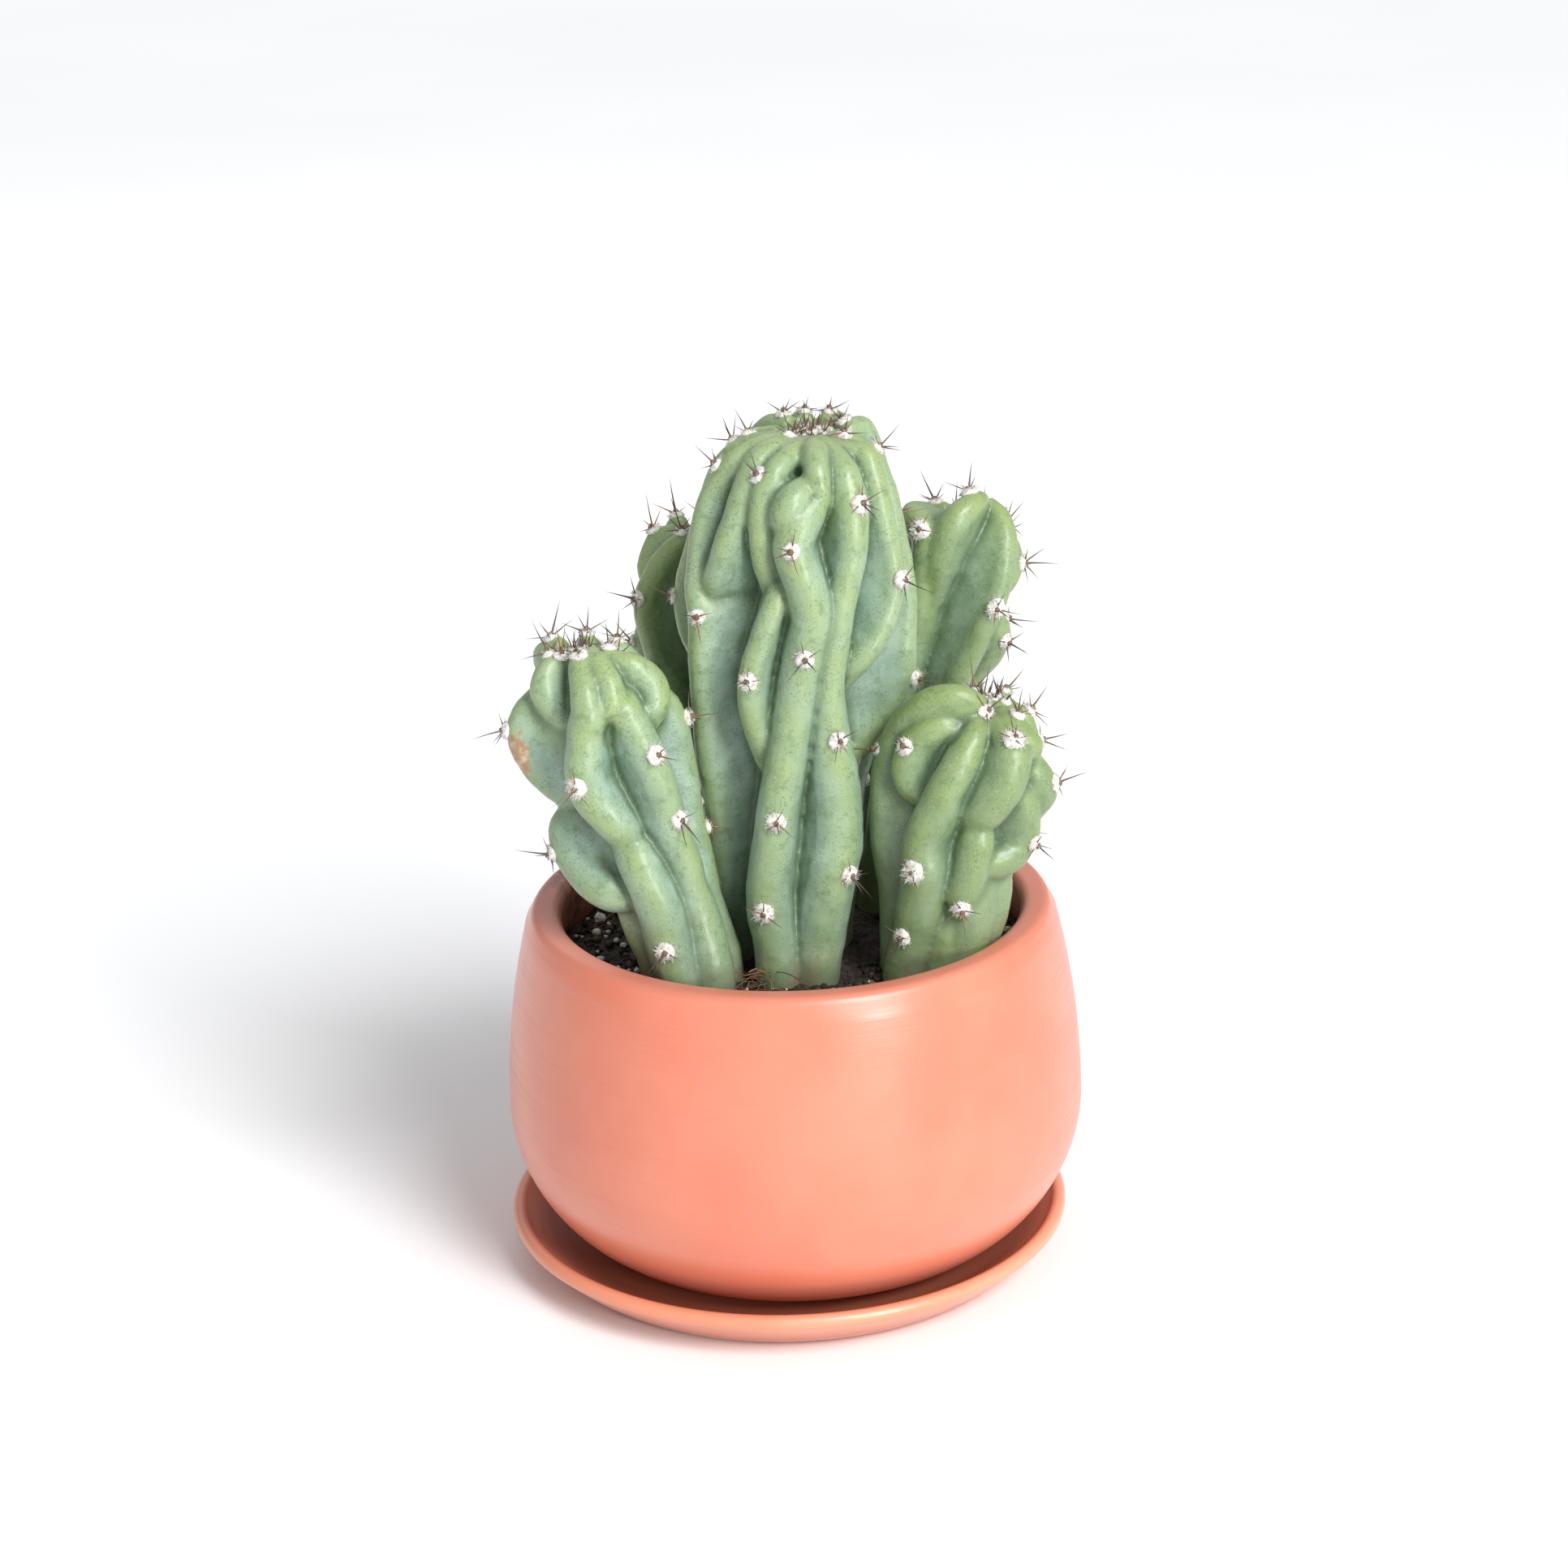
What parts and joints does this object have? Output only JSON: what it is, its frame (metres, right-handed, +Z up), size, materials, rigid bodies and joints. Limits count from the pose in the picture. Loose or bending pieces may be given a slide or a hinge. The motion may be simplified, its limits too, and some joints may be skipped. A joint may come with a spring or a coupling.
{
  "type": "potted apple cactus",
  "caption": "Monstrose columnar cactus with wavy ribs and woolly areoles, growing in a rounded terracotta pot that stands on a shallow saucer.",
  "frame": {"origin": "on the saucer's flat underside, straight below the pot's axis", "axes": "+Z up along the pot's axis, -Y towards the front, +X to the right seen from the front"},
  "size_m": [0.1308, 0.13, 0.1927],
  "materials": {
    "pot_clay": "burnished terracotta with a soft sheen and fine turning lines, matt rim",
    "saucer_clay": "plain terracotta, a little more orange than the pot",
    "potting_soil": "dark crumbly potting mix with coir fibre",
    "cactus_skin": "waxy blue-green skin, yellow-green along the crests, fine dark speckles",
    "perlite": "matt white expanded mineral grains",
    "areole_wool": "short dense off-white wool",
    "spine": "dark brown to black needle spines, some orange-brown"
  },
  "bodies": {
    "root": {"saucer": "saucer_clay", "pot": "pot_clay", "soil": "potting_soil", "stem_main": "cactus_skin", "stem_left": "cactus_skin", "stem_right_front": "cactus_skin", "stem_right_back": "cactus_skin", "stem_left_back": "cactus_skin", "perlite_01": "perlite", "perlite_02": "perlite", "perlite_03": "perlite", "perlite_04": "perlite", "perlite_05": "perlite", "perlite_06": "perlite", "perlite_07": "perlite", "perlite_08": "perlite", "perlite_09": "perlite", "perlite_10": "perlite", "perlite_11": "perlite", "perlite_12": "perlite"}
  },
  "joints": []
}
